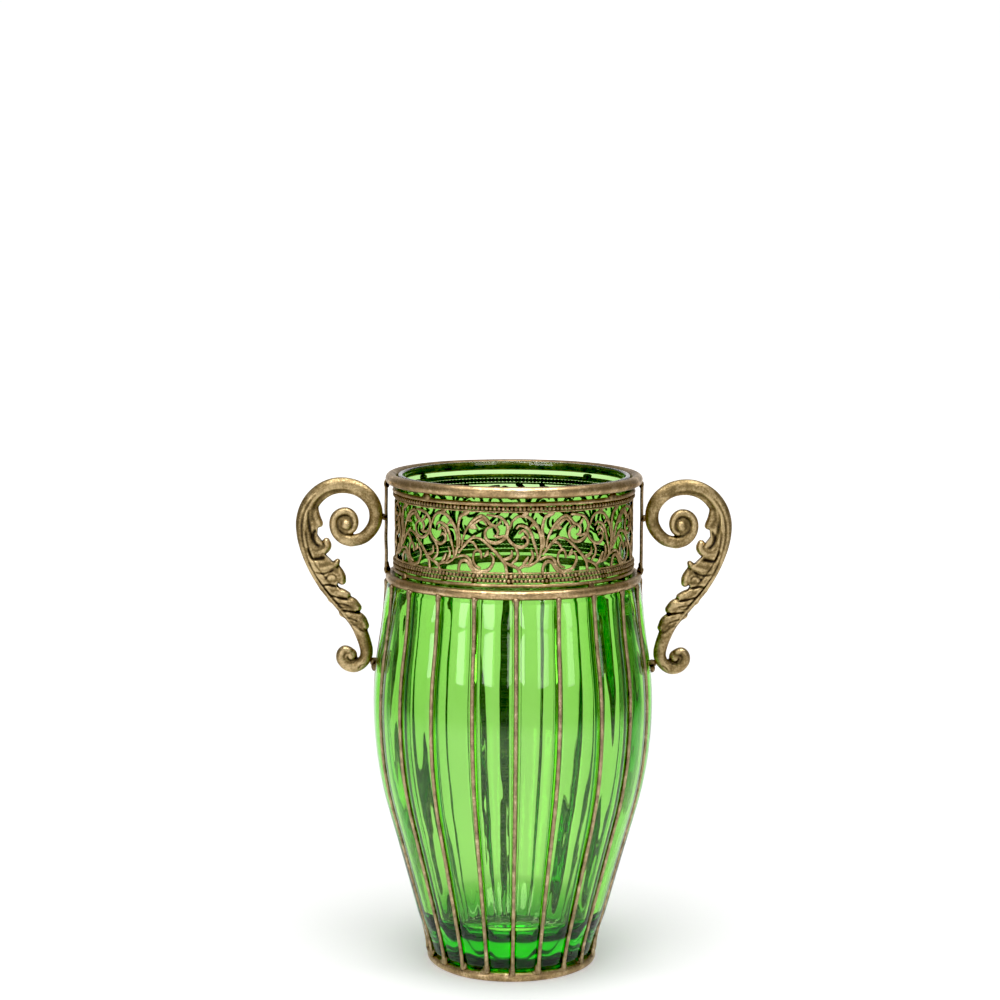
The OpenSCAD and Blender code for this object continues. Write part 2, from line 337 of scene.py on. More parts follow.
def brass(name, mid, bright, patina, gloss=0.38, blotch=90.0, cavity_weight=0.9, speckle=1.0):
    """Antique brass: rubbed bright metal over brown, with near-black patina in patches, and near-black painted
    shade, with some patina, where a mesh's cavity values mark hollows and shaded sides.
    """
    material, nodes, links, shader, _ = node_material(name)
    coords = nodes.new("ShaderNodeTexCoord").outputs["Object"]
    hollow = nodes.new("ShaderNodeAttribute")
    hollow.attribute_name = "cavity"
    large = noise(nodes, links, coords, blotch, 5, 0.62)
    small = noise(nodes, links, coords, blotch * 7, 6, 0.7)
    brushed = noise(nodes, links, coords, 420, 3, 0.6, stretch=(1, 1, 5))
    # 0 is worn bright, 1 is patina; the cavity values added below push it towards painted shade
    spread = math_node(nodes, links, "MULTIPLY_ADD", small, speckle, -0.5 * speckle)
    mixed = math_node(nodes, links, "MULTIPLY_ADD", large, 1.1, patina - 0.55)
    mixed = math_node(nodes, links, "ADD", mixed, spread)
    # painted shade from the mesh's cavity values, with some patina in hollows
    deep = math_node(nodes, links, "MULTIPLY", hollow.outputs["Fac"], cavity_weight)
    mixed = math_node(nodes, links, "ADD", mixed, deep, clamp=True)
    brown = tuple(0.45 * c for c in mid)
    colour = ramp(nodes, links, mixed, [(0.0, bright), (0.3, mid), (0.62, brown), (0.9, PATINA_AND_SHADE_DARK)])
    links.new(colour, shader.inputs["Base Color"])
    metal = ramp(nodes, links, mixed, [(0.35, 1.0), (0.95, 0.55)])
    links.new(metal, shader.inputs["Metallic"])
    worn = math_node(nodes, links, "MULTIPLY_ADD", mixed, 0.26, gloss - 0.06)
    rough = math_node(nodes, links, "MULTIPLY_ADD", brushed, 0.12, worn)
    links.new(rough, shader.inputs["Roughness"])
    relief = math_node(nodes, links, "MULTIPLY_ADD", small, 0.6, brushed)
    bump = nodes.new("ShaderNodeBump")
    bump.inputs["Strength"].default_value = 0.35
    bump.inputs["Distance"].default_value = 0.0006
    links.new(relief, bump.inputs["Height"])
    links.new(bump.outputs[0], shader.inputs["Normal"])
    return material


def green_glass():
    """Bright green glass: lightly tinted at its surfaces, with colour that deepens with thickness."""
    material, nodes, links, shader, out = node_material("green_glass")
    shader.inputs["Base Color"].default_value = (0.88, 0.905, 0.82, 1)
    shader.inputs["Transmission Weight"].default_value = 1.0
    shader.inputs["IOR"].default_value = 1.5
    coords = nodes.new("ShaderNodeTexCoord").outputs["Object"]
    haze = noise(nodes, links, coords, 60, 3, 0.5, stretch=(1, 1, 0.25))
    rough = ramp(nodes, links, haze, [(0.35, 0.0), (0.8, 0.03)])
    links.new(rough, shader.inputs["Roughness"])
    ripple = noise(nodes, links, coords, 55, 2, 0.5, stretch=(1, 1, 0.12))
    height = nodes.new("ShaderNodeSeparateXYZ")
    links.new(coords, height.inputs[0])
    # the lip is ground smooth
    waves = ramp(nodes, links, math_node(nodes, links, "MULTIPLY", height.outputs["Z"], 2.0), [
        (0.60, 1.0), (0.66, 0.0),
    ])
    ripple = math_node(nodes, links, "MULTIPLY", ripple, waves)
    bump = nodes.new("ShaderNodeBump")
    bump.inputs["Strength"].default_value = 0.12
    bump.inputs["Distance"].default_value = 0.002
    links.new(ripple, bump.inputs["Height"])
    links.new(bump.outputs[0], shader.inputs["Normal"])
    inside = nodes.new("ShaderNodeVolumeAbsorption")
    inside.inputs["Color"].default_value = (0.44, 0.916, 0.014, 1)
    inside.inputs["Density"].default_value = 215
    links.new(inside.outputs[0], out.inputs["Volume"])
    return material


RING_BRASS = brass(
    "antique_ring_brass", (0.44, 0.305, 0.155), (0.86, 0.655, 0.40), patina=0.33, gloss=0.27,
)
RIB_BRASS = brass(
    "antique_rib_brass", (0.48, 0.355, 0.21), (0.90, 0.73, 0.50), patina=0.40, blotch=150, speckle=1.3,
)
SCROLL_BRASS = brass(
    "antique_filigree_brass", (0.44, 0.31, 0.155), (0.96, 0.75, 0.47), patina=0.30, blotch=200, speckle=1.4,
)
CAST_BRASS = brass(
    "antique_cast_brass", (0.27, 0.195, 0.09), (0.60, 0.46, 0.25), patina=0.41, gloss=0.40,
    cavity_weight=0.75,
)
SOLDER = brass("dark_solder", (0.34, 0.24, 0.12), (0.70, 0.53, 0.31), patina=0.38, blotch=260)
RIB_SOLDER = brass("rib_solder", (0.36, 0.26, 0.14), (0.70, 0.55, 0.35), patina=0.34, blotch=260)
GLASS = green_glass()


# ---------------------------------------------------------------- ribs and their wander

RIB_LINE = chain_line(RIB_START, RIB_CHAIN, 4) * [MM, MM, 1, 1]
RIB_LOW = RIB_LINE[-1, 1]


def rib_radius(height):
    """Distance from the axis to the ribs' middle line at a height."""
    return np.interp(height, RIB_LINE[::-1, 1], RIB_LINE[::-1, 0])


def rib_angle(number, height):
    """Where rib number stands at a height: hand-set, so a little off its even place."""
    share = np.clip((np.asarray(height, float) - RIB_LOW) / (RIB_START[1] * MM - RIB_LOW), 0, 1)
    r = np.random.default_rng(100 + number)
    offset, bow, lean, phase = r.normal(0, 0.35), r.normal(0, 0.45), r.normal(0, 0.4), r.uniform(0, 6)
    wander = offset + bow * np.sin(np.pi * share + 0.2 * phase) + lean * (share - 0.5)
    return FIRST_RIB + number * 2 * math.pi / RIB_COUNT + np.radians(wander)


def ribs():
    """Bent wires, each a little uneven and a little thicker where its ends are soldered."""
    height = RIB_LINE[:, 1]
    share = np.linspace(0, 1, len(height))
    flare = 1 + 0.35 * np.exp(-((share / 0.012) ** 2)) + 0.3 * np.exp(-(((1 - share) / 0.012) ** 2))
    for number, node in enumerate(RIB_NODES):
        radius = RIB_LINE[:, 0] + 0.12 * MM * wave(share, 300 + number, 6)
        line = around(rib_angle(number, height), radius, height)
        angle = float(rib_angle(number, 0.15))
        thick = RIB_WIRE * MM * (0.97 + 0.03 * wave(share, 400 + number, 8, 2))
        side = (math.cos(angle), math.sin(angle), 0)
        verts, faces, _ = tube(line, thick * flare, thick * flare, side, 14)
        piece = make_object(f"cage_{node}", verts, faces, RIB_BRASS, np.zeros(len(verts)))
        adopt(piece, node)


# ---------------------------------------------------------------- glass

LOBE_COLUMNS = 28
GLASS_WALL = 3.6 * MM
NECK_RADIUS = 83.75 * MM
NECK_FOOT = 288 * MM
FLOOR_THICKNESS = 8 * MM
FLOOR_EDGE = 42 * MM
FLOOR_POWER = 2.6
LIP_BEND = 1.2 * MM
# Height at which the wall starts to follow the ribs at each end of its lobes.
WALL_LOW = 12 * MM
WALL_HIGH = 281 * MM


def lobe_share(angle, height):
    """How far each angle lies between its two neighbouring ribs at a height, from 0 to 1."""
    places = np.stack([rib_angle(n, height) for n in range(RIB_COUNT)], -1)
    places = np.concatenate([places, places[..., :1] + 2 * np.pi], -1)
    share = np.zeros_like(angle)
    for n in range(RIB_COUNT):
        low, high = places[..., n], places[..., n + 1]
        for turn in (-2 * np.pi, 0, 2 * np.pi):
            inside = (angle + turn >= low) & (angle + turn < high)
            share = np.where(inside, (angle + turn - low) / (high - low), share)
    return share


def lobe_size(height):
    """How full the lobes are at a height: they fade towards the base ring and the shoulder ring."""
    fade = min(1, (height - 6 * MM) / (30 * MM)) * min(1, (291 * MM - height) / (26 * MM))
    return 0.2 + 0.8 * fade


def glass_profile():
    """The vessel's section from the middle of its underside up outside, over the lip and down
    inside to the middle of the floor: radius, height, share of the outer lobes, of the inner."""
    ring_radius, ring_rod, ring_height = hoop_of("base_ring")
    low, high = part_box("glass_vessel")
    bottom, lip = low.z, high.z
    rows = []
    for r in np.linspace(0, 1, 16):
        rows.append((r * (ring_radius - 6.6 * MM), bottom + 2.2 * MM * (1 - r**2) ** 2, 0, 0))
    for a in np.linspace(172, 75, 9):
        a = math.radians(a)
        reach = ring_rod / 2 + 0.35 * MM
        rows.append((ring_radius + reach * math.cos(a), ring_height + reach * math.sin(a), 0.15, 0))
    for z in np.linspace(WALL_LOW, WALL_HIGH, 96):
        rows.append((rib_radius(z) - RIB_WIRE * MM / 2 - 0.1 * MM, z, lobe_size(z), 0))
    for z in np.linspace(285 * MM, lip - 1.4 * MM, 26):
        rows.append((NECK_RADIUS, z, 0, 0))
    for a in np.linspace(0, 180, 9):
        a = math.radians(a)
        radius = NECK_RADIUS - GLASS_WALL / 2 + GLASS_WALL / 2 * math.cos(a)
        rows.append((radius, lip - LIP_BEND + LIP_BEND * math.sin(a), 0, 0))
    for z in np.linspace(lip - 4 * MM, NECK_FOOT, 26):
        rows.append((NECK_RADIUS - GLASS_WALL, z, 0, 0))
    floor = bottom + FLOOR_THICKNESS
    for z in np.linspace(WALL_HIGH, FLOOR_EDGE, 88):
        rows.append((rib_radius(z) - RIB_WIRE * MM / 2 - GLASS_WALL, z, 0, lobe_size(z)))
    edge, share = rows[-1][0], rows[-1][3]
    for t in np.linspace(0.03, 1, 34):
        rise = (1 - t) ** FLOOR_POWER
        rows.append((edge * (1 - t), floor + (FLOOR_EDGE - floor) * rise, 0, share * (1 - t) ** 2))
    return np.array(rows)


def glass_vessel():
    """The blown vessel: its wall swells in a lobe between each two ribs, inside and outside."""
    profile = glass_profile()
    columns = RIB_COUNT * LOBE_COLUMNS
    angle = np.arange(columns) * 2 * np.pi / columns
    verts = []
    turn = angle / (2 * np.pi)
    for radius, height, outer, inner in profile:
        share = lobe_share(angle, np.full(columns, height))
        across = np.abs(2 * share - 1)
        bulge = 3.3 * MM * outer * (1 - across**3.2)
        bulge += inner * MM * (2.9 * (1 - across**2.2) - 2.3 * np.exp(-(((1 - across) / 0.16) ** 2)))
        drift = height / 0.9
        streaks = 0.10 * wave(turn + 0.01 * math.sin(9 * drift), 21, 10, 31) + 0.05 * wave(turn, 22, 12, 60)
        r = radius + bulge + streaks * MM * inner
        sag = 0.25 * MM * (outer + inner) * math.sin(height * 70)
        verts.append(around(angle, np.maximum(r + 0.2 * sag, 0), height))
    rows = len(profile)
    verts = np.vstack(verts)
    faces = grid_faces(rows, columns)
    faces = [face for face in faces if len(set(face)) == 4]
    piece = make_object("glass_vessel_blown", verts, faces, GLASS)
    weld(piece)
    adopt(piece, "glass_vessel")


def weld(piece, distance=1e-6):
    """Joins vertices that share a place, so that a shape's poles close."""
    bm = bmesh.new()
    bm.from_mesh(piece.data)
    bmesh.ops.remove_doubles(bm, verts=bm.verts, dist=distance)
    bmesh.ops.recalc_face_normals(bm, faces=bm.faces)
    bm.to_mesh(piece.data)
    bm.free()
    piece.data.polygons.foreach_set("use_smooth", [True] * len(piece.data.polygons))


# ---------------------------------------------------------------- pierced scroll band and beads

BAND_RADIUS = 85.25 * MM
BAND_DEPTH = 1.7 * MM
SCROLL_REPEATS = 9
SCROLL_ROOT = math.radians(13.4)

# One repeat of the scroll pattern: smooth strokes as [along the band from the root of the stems,
# height], with the stroke's width at its start, along it and at its end.
STROKES = [
    ([(.5, 316.3), (1.1, 322), (-.1, 328.4), (.3, 334.1), (1.9, 338.1), (4.4, 339.9)], (1.4, 2.2, 2.6)),
    ([(3.2, 339.0), (5.4, 340.4), (7.6, 341.6)], (2.4, 3.6, 3.2)),
    ([(2.7, 317.7), (3.7, 322.7), (5.9, 328.4), (9.8, 334.1), (14.1, 337.7), (17.7, 338.9), (20.9, 336.6),
      (23.4, 333.6), (26.9, 331.9), (29.1, 328.8), (28, 325.6), (26.4, 325.2)], (1.5, 2.3, 1.8)),
    ([(9.4, 331.3), (13.4, 334.5), (17.3, 336.6), (19.8, 334.9), (20.9, 332.7)], (2.2, 1.9, 1.3)),
    ([(8.6, 330.4), (11.2, 331.0), (13.8, 330.4)], (1.6, 3.2, 1.4)),
    ([(21.6, 339.7), (26.2, 339.3), (31.2, 338.1), (34.4, 334.9), (35.9, 330.6), (34.8, 325.6),
      (31.9, 322.4), (27.7, 320.4), (23.4, 321.1), (20.5, 323.8), (19.8, 327.4), (21.6, 330.6), (24.1, 331.4)],
     (1.8, 2.4, 1.8)),
    ([(30.9, 335.9), (29.6, 333.8), (27.7, 332.4)], (1.2, 2.0, 1.4)),
    ([(33.4, 325.6), (29.1, 324.5), (26.9, 325.2)], (1.6, 1.9, 1.4)),
    ([(.5, 312.7), (4.8, 318.1), (9.1, 322.4), (12.3, 324.9)], (1.6, 2.4, 1.3)),
    ([(11.6, 323.4), (15.2, 323.4), (19.1, 321.6), (22.7, 318.4), (26.9, 314.5), (31.2, 309.9),
      (34.1, 305.6), (35.2, 300.6), (35.5, 297.9)], (1.4, 2.4, 2.2)),
    ([(8.4, 320.9), (11.6, 319.9), (14.1, 316.3)], (1.4, 2.0, 1.4)),
    ([(11.2, 310.6), (12.3, 313.8), (14.6, 315.4), (16.7, 313.8), (17.4, 309.9)], (1.6, 2.1, 1.5)),
    ([(-1.3, 309.1), (2.7, 310.6), (6.6, 310.2), (9.1, 307.4), (10.5, 303.8), (14.1, 300.9), (18.4, 300.4),
      (22.7, 302), (25.2, 305.6), (26, 309.5), (24.1, 312.7)], (1.6, 2.4, 1.6)),
    ([(19.4, 310.8), (21.2, 312.6), (22.0, 314.8)], (1.2, 3.0, 1.4)),
    ([(11.2, 310.6), (11.6, 307), (13.4, 304.1), (16.2, 302.7)], (1.5, 1.9, 1.5)),
    ([(.5, 297.9), (.2, 302), (1.6, 305.9), (4.4, 307.6), (7.3, 306.3), (9.4, 303.1), (12.7, 299.5),
      (16.2, 298.3)], (2.2, 2.4, 2.4)),
    ([(-22.3, 332.4), (-20.9, 335.9), (-17.7, 338.8), (-13.8, 339.3), (-9.5, 338.1), (-5.9, 334.9),
      (-3.1, 330.6), (-1.3, 325.6), (-.6, 320.6), (-1.1, 314.9), (-2.7, 309.1)], (1.6, 2.5, 1.8)),
    ([(-14.6, 339.2), (-12.6, 340.4), (-10.8, 341.8)], (2.0, 3.2, 2.8)),
    ([(-8.8, 331.6), (-6.6, 333.4), (-4.5, 332)], (1.2, 2.1, 1.4)),
    ([(-3.4, 309.1), (-3.8, 313.4), (-5.2, 318.4), (-6.6, 322.7), (-7.7, 326.3), (-9.5, 329.9),
      (-12.7, 332), (-16.3, 332.6), (-18.1, 330.9)], (1.5, 2.3, 1.6)),
    ([(-22.3, 332.4), (-24.8, 329.1), (-24.8, 325.2), (-22.3, 321.3), (-18.1, 318.3), (-13.8, 317.9),
      (-10.6, 320.6), (-10.6, 323.4), (-13.1, 324.9), (-14.5, 323.8)], (1.6, 2.4, 1.7)),
    ([(-24.6, 327.2), (-24.25, 329.6), (-23.4, 331.6)], (1.8, 2.3, 1.8)),
    ([(-16.3, 327.4), (-13.8, 329.3), (-11.3, 327.7), (-9.8, 324.9)], (1.8, 2.2, 1.4)),
    ([(-2.7, 309.1), (-5.6, 306.6), (-9.1, 305), (-13.1, 304.7), (-17, 302.4)], (1.6, 2.3, 1.8)),
    ([(-28.1, 308.4), (-24.5, 306.3), (-20.2, 304.5), (-17, 302.4), (-14.8, 298.2)], (1.4, 2.3, 2.8)),
    ([(-19, 317.6), (-17.3, 313.8), (-17.9, 309.9), (-20.8, 307), (-21.6, 305.2)], (1.6, 2.1, 1.5)),
    ([(-10.1, 310.9), (-11.5, 308.4), (-13.5, 305.6)], (1.2, 2.6, 1.6)),
    ([(-7.9, 315.6), (-6.7, 312), (-7.6, 309.1), (-9.7, 305.8)], (1.2, 2.4, 1.6)),
    ([(-21.5, 315.2), (-21.5, 312), (-24, 309.9), (-28.4, 308.9)], (1.2, 2.6, 1.5)),
]


def filigree():
    """The pierced strip: repeats of the scroll strokes between two plain edges."""
    pile = Pile()
    low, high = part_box("filigree_band")
    for repeat in range(SCROLL_REPEATS):
        root = SCROLL_ROOT + repeat * 2 * math.pi / SCROLL_REPEATS
        for number, (points, widths) in enumerate(STROKES):
            line = smooth_curve(points, 0.55) * MM
            share = np.linspace(0, 1, len(line))
            first, along, last = widths
            steps = [first, (first + along) / 2, along, along, last]
            width = np.interp(share, [0, 0.18, 0.45, 0.75, 1], steps)
            width = 1.1 * width * MM * (1 + 0.06 * wave(share, 900 + 31 * repeat + number, 3))
            angle = root + line[:, 0] / (BAND_RADIUS + 0.85 * MM)
            lift = 0.05 * MM * wave(share, 40 + number, 2)
            path = around(angle, BAND_RADIUS + lift, line[:, 1])
            verts, faces, section = tube(path, BAND_DEPTH, width, around(angle, 1, 0), 8)
            # painted shade on the flanks of each stroke and on its side towards the glass
            inward = np.clip(0.6 - np.cos(section), 0, 1.3) / 1.3
            pile.add(verts, faces, inward)
    for height in (low.z + 0.7 * MM, high.z - 0.7 * MM):
        angle = np.arange(540) * 2 * np.pi / 540
        path = around(angle, BAND_RADIUS, height)
        verts, faces, section = tube(path, BAND_DEPTH, 1.4 * MM, around(angle, 1, 0), 10, closed=True)
        # painted shade on the side of each edge wire that faces the glass
        pile.add(verts, faces, 0.7 * np.clip(0.2 - np.cos(section), 0, 1))
    adopt(pile.build("pierced_scroll_band", SCROLL_BRASS), "filigree_band")


BEADS_IN_ROW = 186


def bead_row(name, node, phase):
    """Beads pressed along a strip: round swellings joined by narrow necks."""
    radius, rod, height = hoop_of(node)
    steps = BEADS_IN_ROW * 10
    share = np.arange(steps) / steps
    angle = share * 2 * np.pi
    swell = np.abs(np.sin(angle * BEADS_IN_ROW / 2 + phase)) ** 0.42
    size = rod * (0.5 + 0.5 * swell)
    path = around(angle, radius, height)
    verts, faces, section = tube(path, size, size, around(angle, 1, 0), 10, closed=True)
    # painted shade in the necks between beads and on the side that faces the glass
    hollow = 1.25 * (1 - np.repeat(swell, 10)) ** 0.8 + 0.5 * np.clip(-np.cos(section), 0, 1)
    piece = make_object(name, verts, faces, SCROLL_BRASS, np.clip(hollow, 0, 1))
    adopt(piece, node)


# ---------------------------------------------------------------- solder

def lump(pile, centre, radii, axes, seed, rough=0.16):
    """A lumpy drop of metal: radii along its three axes."""
    r = np.random.default_rng(seed)
    rows, columns = 12, 16
    lat = np.linspace(0.02, np.pi - 0.02, rows)
    lon = np.arange(columns) * 2 * np.pi / columns
    unit = np.stack([
        np.outer(np.sin(lat), np.cos(lon)), np.outer(np.sin(lat), np.sin(lon)),
        np.outer(np.cos(lat), np.ones(columns)),
    ], -1).reshape(-1, 3)
    swell = np.ones(len(unit))
    for _ in range(5):
        axis = r.normal(size=3)
        axis /= np.linalg.norm(axis)
        swell += rough * r.uniform(-1, 1) * np.cos(2.2 * (unit @ axis) * r.uniform(1, 2) + r.uniform(0, 6))
    local = unit * np.asarray(radii) * swell[:, None]
    verts = np.asarray(centre) + local @ np.asarray(axes)
    faces = grid_faces(rows, columns)
    faces += end_faces(rows, columns)
    # a slight even darkening, with painted shade in the lump's dents
    hollow = 0.12 - 1.4 * (swell - 1)
    pile.add(verts, faces, np.clip(hollow, 0, 1))


def frame_at(angle):
    """Tangent, outward and upward unit vectors at an angle round the vase."""
    return np.array([
        (math.cos(angle), math.sin(angle), 0), (math.sin(angle), -math.cos(angle), 0), (0, 0, 1),
    ])


def drop(pile, angle, radius, height, radii, seed, rough=0.16):
    """A drop of solder at an angle round the vase, with its radii along, outwards and up in mm."""
    lump(pile, around(angle, radius, height), np.array(radii) * MM, frame_at(angle), seed, rough)


def rib_solder():
    """A joint at each rib's top, and one at its foot that spreads on to the base ring."""
    tops, feet = Pile(), Pile()
    base_radius, _, base_height = hoop_of("base_ring")
    r = np.random.default_rng(5)
    for number in range(RIB_COUNT):
        high = float(rib_angle(number, 0.281))
        low = float(rib_angle(number, RIB_LOW))
        cap = (r.uniform(2.2, 3.1), 1.9, r.uniform(1.3, 2.0))
        drop(tops, high, 91.2 * MM, 281.6 * MM, cap, 500 + number)
        drop(tops, high, 91.7 * MM, 279.0 * MM, (1.8, 1.7, r.uniform(2.2, 4.2)), 530 + number, 0.08)
        # the foot spreads from the wire on to the ring, a little to one side
        shift = r.uniform(-0.014, 0.014)
        foot = around(low + shift, base_radius + 1.2 * MM, base_height + 2.7 * MM)
        spread = np.array((r.uniform(3.2, 5.4), 2.7, r.uniform(1.8, 2.6))) * MM
        lump(feet, foot, spread, frame_at(low), 560 + number, 0.22)
        neck = (r.uniform(2.0, 2.8), 2.1, r.uniform(2.6, 4.2))
        drop(feet, low, base_radius + 1.8 * MM, base_height + 5.2 * MM, neck, 590 + number)
    adopt(tops.build("rib_top_joints", RIB_SOLDER), "rib_top_solder")
    adopt(feet.build("rib_foot_joints", RIB_SOLDER), "rib_foot_solder")


def collar_solder():
    """Bridges between the collar wires and the mouth ring above, the shoulder ring below."""
    collar = Pile()
    for k, degrees in enumerate((-44, 52, 140, 232)):
        drop(collar, math.radians(degrees), 87.6 * MM, 349.7 * MM, (3.4, 1.9, 2.3), 620 + k)
    for k, degrees in enumerate((38, -62, 128, 218)):
        drop(collar, math.radians(degrees), 87.3 * MM, 288.9 * MM, (2.6, 2.0, 2.6), 630 + k)
    adopt(collar.build("collar_bridges", SOLDER), "collar_solder")


def strut_and_handle_solder():
    """Joints at the struts' ends, and on each handle one to the strut and one to the nearest rib."""
    ends = Pile()
    for side, name in ((-1, "left"), (1, "right")):
        angle = side * math.pi / 2
        low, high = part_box(f"strut_{name}")
        reach = abs(low.x + high.x) / 2
        for radius, height, radii, seed in (
            (reach - 0.6 * MM, low.z + 2.2 * MM, (2.4, 2.1, 3.4), 640),
            (reach - 0.6 * MM, low.z + 5.6 * MM, (1.7, 1.5, 2.6), 645),
            (reach - 0.7 * MM, high.z - 1.5 * MM, (2.4, 2.0, 2.8), 650),
        ):
            drop(ends, angle, radius, height, radii, seed + side)
        joint = Pile()
        for radius, height, radii, seed in (
            (reach + 1.3 * MM, 327.2 * MM, (2.5, 2.2, 2.2), 660),
            (reach + 3.4 * MM, 328.0 * MM, (2.4, 2.2, 1.6), 665),
            (101.2 * MM, 220.8 * MM, (3.4, 3.2, 2.8), 670),
            (100.4 * MM, 217.0 * MM, (2.8, 2.6, 3.0), 675),
        ):
            drop(joint, angle, radius, height, radii, seed + side)
        adopt(joint.build(f"handle_joints_{name}", SOLDER), f"handle_solder_{name}")
    adopt(ends.build("strut_joints", SOLDER), "strut_solder")


def struts():
    """The thin upright wires beside the neck."""
    for side, name in ((-1, "left"), (1, "right")):
        low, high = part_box(f"strut_{name}")
        z = np.linspace(low.z, high.z, 40)
        share = np.linspace(0, 1, len(z))
        x = side * abs(low.x + high.x) / 2 + 0.12 * MM * wave(share, 700 + side, 3)
        line = np.stack([x, 0.15 * MM * wave(share, 703 + side, 3), z], -1)
        thick = (high.x - low.x) * (0.97 + 0.03 * wave(share, 705 + side, 6))
        verts, faces, _ = tube(line, thick, thick, (0, 1, 0), 12)
        piece = make_object(f"upright_{name}", verts, faces, RIB_BRASS, np.zeros(len(verts)))
        adopt(piece, f"strut_{name}")


# ---------------------------------------------------------------- cast handles

# Everything here is in the handle's own plane, [distance from the vase's axis, height, width].
# The main line runs from under the eye round the big turn, over the crown, down the limb and
# round the foot scroll; the coil is the small inner turn; the petals are the leaf's lobes.
HANDLE_MAIN = [
    (117.4, 309.2, 8.8), (109.2, 311.5, 9.1), (103.1, 317.3, 9.5), (99.8, 324.6, 9.9), (100.2, 333.5, 10.2),
    (104.6, 341.4, 10.8), (111.8, 347.0, 11.2), (120.5, 349.5, 11.7), (129.7, 349.1, 12.0),
    (137.9, 345.6, 12.2), (144.3, 339.8, 12.7), (148.6, 332.5, 13.1), (150.8, 324.1, 13.3),
    (151.2, 315.7, 12.2), (149.9, 307.3, 11.6), (147.1, 298.9, 11.6), (143.2, 290.5, 12.0),
    (138.3, 282.1, 12.4), (132.8, 274.3, 12.7), (126.8, 266.9, 12.2), (121.5, 260.1, 11.6),
    (116.6, 253.8, 10.8), (112.8, 247.5, 10.2), (110.0, 241.2, 10.0), (107.8, 234.9, 9.7),
    (106.5, 228.6, 9.5), (107.4, 223.4, 9.1), (110.8, 219.0, 8.7), (115.4, 216.9, 8.7),
    (120.5, 218.1, 8.7), (124.2, 222.1, 8.5), (124.6, 226.3, 8.0), (122.4, 229.2, 7.0), (119.0, 228.9, 5.6),
]
HANDLE_COIL = [
    (117.4, 309.2, 8.8), (123.6, 311.0, 8.3), (128.5, 315.7, 7.3), (130.2, 321.8, 6.6), (128.8, 327.3, 6.1),
    (124.8, 330.4, 5.9), (120.0, 330.7, 5.8), (116.1, 327.8, 5.6), (114.6, 323.0, 5.4), (115.7, 318.4, 5.0),
    (118.4, 316.2, 4.4),
]
PETALS = [
    [(144.6, 342.0, 5.0), (144.4, 334.5, 6.4), (143.2, 327.0, 7.2), (140.4, 321.8, 5.8)],
    [(148.2, 306.3, 6.4), (145.6, 302.2, 6.6), (141.2, 301.1, 6.6), (137.0, 302.6, 6.8),
     (134.9, 305.6, 6.8), (135.4, 308.8, 5.6)],
    [(145.6, 291.6, 6.0), (140.0, 289.6, 6.4), (133.6, 290.4, 6.4), (129.2, 292.0, 5.8),
     (127.4, 294.3, 4.2)],
    [(138.9, 281.1, 7.6), (133.8, 282.1, 9.4), (128.4, 283.7, 11.0), (125.5, 282.3, 9.2)],
    [(128.4, 289.5, 6.4), (125.4, 284.4, 7.2), (124.2, 280.1, 6.4)],
    [(137.9, 275.8, 7.4), (130.7, 272.7, 8.0), (124.3, 271.1, 7.0), (120.2, 269.9, 4.8)],
    [(131.8, 267.5, 7.4), (124.6, 265.4, 8.8), (117.6, 263.8, 9.2), (113.4, 260.5, 7.2)],
    [(123.6, 257.0, 7.4), (116.9, 254.9, 9.2), (111.0, 251.5, 9.2), (107.6, 247.2, 6.4)],
]
# The sheet that joins the petals to the limb, as the corners of its outline.
LEAF_WEB = [
    (147.5, 340), (143.4, 334.5), (141.2, 328), (139.8, 322.8), (141.6, 318), (142.0, 313.5), (138.6, 309),
    (136.2, 303), (136.5, 299.5), (131.4, 294.5), (128.8, 291), (126.6, 286), (126.2, 281), (128.2, 277),
    (123.8, 272.2), (120.6, 269.7), (119.6, 267.5), (115.2, 262.5), (113.6, 259.5), (113.8, 256.8),
    (109.6, 251.5), (108.8, 246.5), (110.0, 243), (113.5, 243), (118, 249), (125, 258), (134, 269),
    (142, 280.5), (148, 291.5), (152.5, 304), (154, 316), (152.5, 327), (149.5, 335),
]
